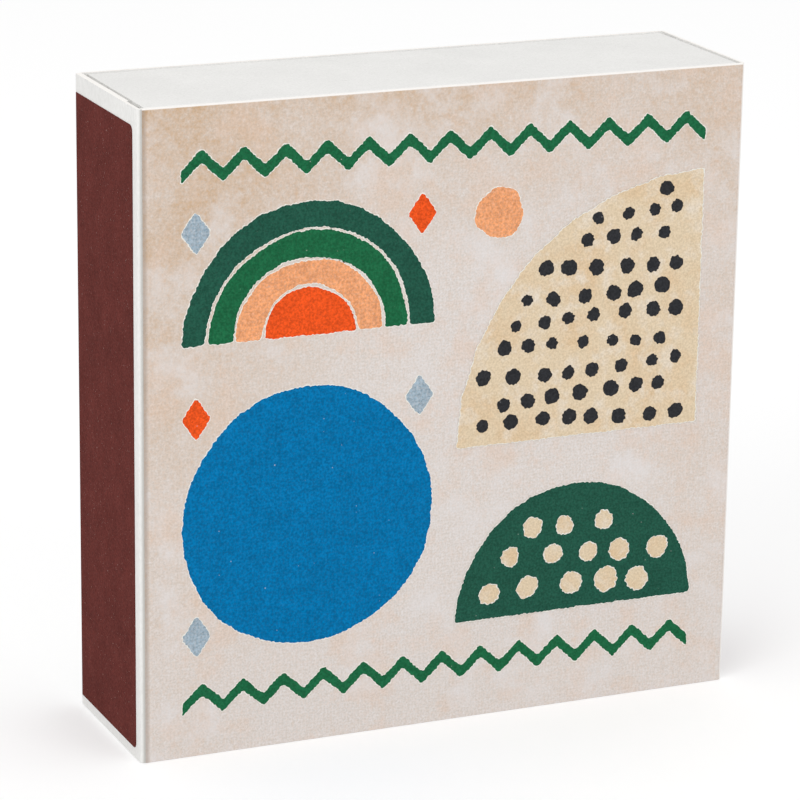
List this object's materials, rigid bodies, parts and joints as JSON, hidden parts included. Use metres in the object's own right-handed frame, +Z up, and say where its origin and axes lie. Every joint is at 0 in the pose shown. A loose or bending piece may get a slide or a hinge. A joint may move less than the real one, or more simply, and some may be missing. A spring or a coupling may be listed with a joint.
{
  "type": "matchbox",
  "caption": "Square card matchbox standing on one end: a printed sleeve with a striking strip on each narrow side and a folded tray of long matches that slides up out of it.",
  "frame": {"origin": "middle of the end that the box stands on, at table height", "axes": "+Z up along the tray's slide, -Y out of the printed front, +Y out of the plain back, -X out of the striking strip that the picture shows"},
  "size_m": [0.1052, 0.0294, 0.107],
  "materials": {
    "sleeve_card": "uncoated white card",
    "tray_card": "uncoated white card",
    "striking_strip": "rough maroon striking coat",
    "splint_wood": "raw aspen",
    "match_head": "dull dipped head",
    "print_ground": "matt ink, mottled cream",
    "print_blue": "matt ink",
    "print_dark_green": "matt ink",
    "print_mid_green": "matt ink",
    "print_sand": "matt ink",
    "print_black": "matt ink",
    "print_orange": "matt ink",
    "print_peach": "matt ink",
    "print_dusty_blue": "matt ink"
  },
  "bodies": {
    "sleeve": {"sleeve": "sleeve_card", "striker_left": "striking_strip", "striker_right": "striking_strip", "print_ground": "print_ground", "print_zigzag_foot": "print_mid_green", "print_zigzag_top": "print_mid_green", "print_disc_blue": "print_blue", "print_arch_dark_green": "print_dark_green", "print_arch_mid_green": "print_mid_green", "print_arch_peach": "print_peach", "print_arch_orange": "print_orange", "print_dome_sand": "print_sand", "print_dome_green": "print_dark_green", "print_quarter_dark": "print_black", "print_quarter_sand": "print_sand", "print_diamond_dusty_foot": "print_dusty_blue", "print_diamond_dusty_side": "print_dusty_blue", "print_diamond_dusty_top": "print_dusty_blue", "print_diamond_orange_side": "print_orange", "print_diamond_orange_top": "print_orange", "print_sun_peach": "print_peach"},
    "tray": {"tray": "tray_card", "match_bed_splints": "splint_wood", "match_bed_heads": "match_head", "match_splint_01": "splint_wood", "match_splint_02": "splint_wood", "match_splint_03": "splint_wood", "match_splint_04": "splint_wood", "match_splint_05": "splint_wood", "match_splint_06": "splint_wood", "match_splint_07": "splint_wood", "match_splint_08": "splint_wood", "match_splint_09": "splint_wood", "match_splint_10": "splint_wood", "match_splint_11": "splint_wood", "match_splint_12": "splint_wood", "match_splint_13": "splint_wood", "match_splint_14": "splint_wood", "match_splint_15": "splint_wood", "match_splint_16": "splint_wood", "match_head_01": "match_head", "match_head_02": "match_head", "match_head_03": "match_head", "match_head_04": "match_head", "match_head_05": "match_head", "match_head_06": "match_head", "match_head_07": "match_head", "match_head_08": "match_head", "match_head_09": "match_head", "match_head_10": "match_head", "match_head_11": "match_head", "match_head_12": "match_head", "match_head_13": "match_head", "match_head_14": "match_head", "match_head_15": "match_head", "match_head_16": "match_head"}
  },
  "joints": [
    {"name": "tray_slide", "type": "slide", "parent": "sleeve", "child": "tray", "axis": [0, 0, 1], "range_m": [0, 0.085]}
  ]
}
